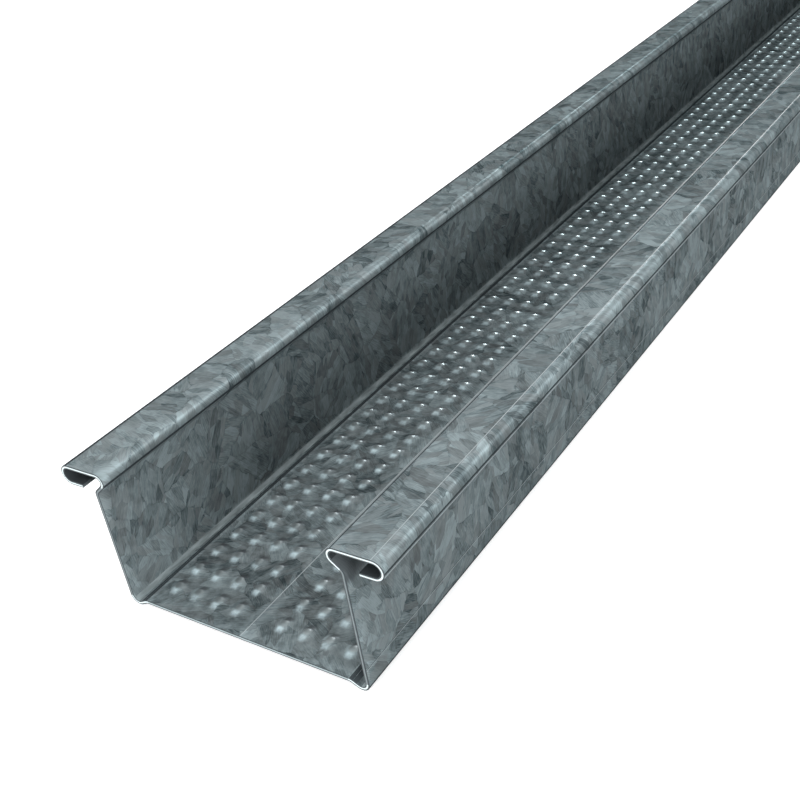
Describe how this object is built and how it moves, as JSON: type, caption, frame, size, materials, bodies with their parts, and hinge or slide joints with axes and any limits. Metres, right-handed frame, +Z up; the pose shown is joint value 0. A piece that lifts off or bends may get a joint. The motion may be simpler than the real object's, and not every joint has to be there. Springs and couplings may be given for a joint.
{
  "type": "ceiling furring channel",
  "caption": "Open roll-formed galvanised steel channel with a dimpled web, upright walls and hooked lips, clipped under ceiling framing to carry lining boards.",
  "frame": {"origin": "under the middle of the channel, level with the two beads it rests on", "axes": "+X across the channel, +Y along its length, +Z up out of the open trough"},
  "size_m": [0.0486, 3.6, 0.0207],
  "materials": {
    "galvanised_steel": "hot-dip zinc with a visible feathery spangle, satin, cut edges bare"
  },
  "bodies": {
    "root": {"furring_channel": "galvanised_steel"}
  },
  "joints": []
}
